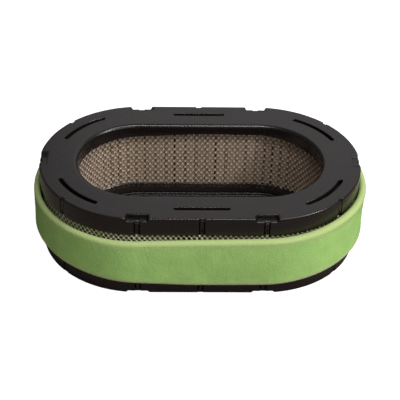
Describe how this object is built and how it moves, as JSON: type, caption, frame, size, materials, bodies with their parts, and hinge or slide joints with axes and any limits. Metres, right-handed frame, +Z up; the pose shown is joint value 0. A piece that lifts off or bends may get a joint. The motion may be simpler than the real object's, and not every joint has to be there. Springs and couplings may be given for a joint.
{
  "type": "oval air filter element",
  "caption": "Oval pleated air filter cartridge for a small engine, with cast rubbery end caps, mesh liners and a slip-on foam pre-cleaner sleeve.",
  "frame": {"origin": "centre of the oval on the lower sealing face, which the filter stands on", "axes": "+X along the long axis of the oval, +Y along its short axis, +Z up through the air passage"},
  "size_m": [0.2282, 0.1462, 0.0605],
  "materials": {
    "black_urethane": "satin",
    "filter_paper": "matte",
    "plated_steel": "satin",
    "expanded_steel": "satin",
    "green_foam": "matte",
    "seam_adhesive": "satin"
  },
  "bodies": {
    "element": {"upper_end_cap": "black_urethane", "lower_end_cap": "black_urethane", "pleated_paper": "filter_paper", "paper_seam_clip": "plated_steel", "inner_mesh_liner": "expanded_steel", "outer_mesh_liner": "expanded_steel"},
    "pre_cleaner": {"foam_pre_cleaner": "green_foam", "foam_seam_film": "seam_adhesive"}
  },
  "joints": [
    {"name": "pre_cleaner_slide", "type": "slide", "parent": "element", "child": "pre_cleaner", "axis": [0, 0, 1], "range_m": [0, 0.06]}
  ]
}
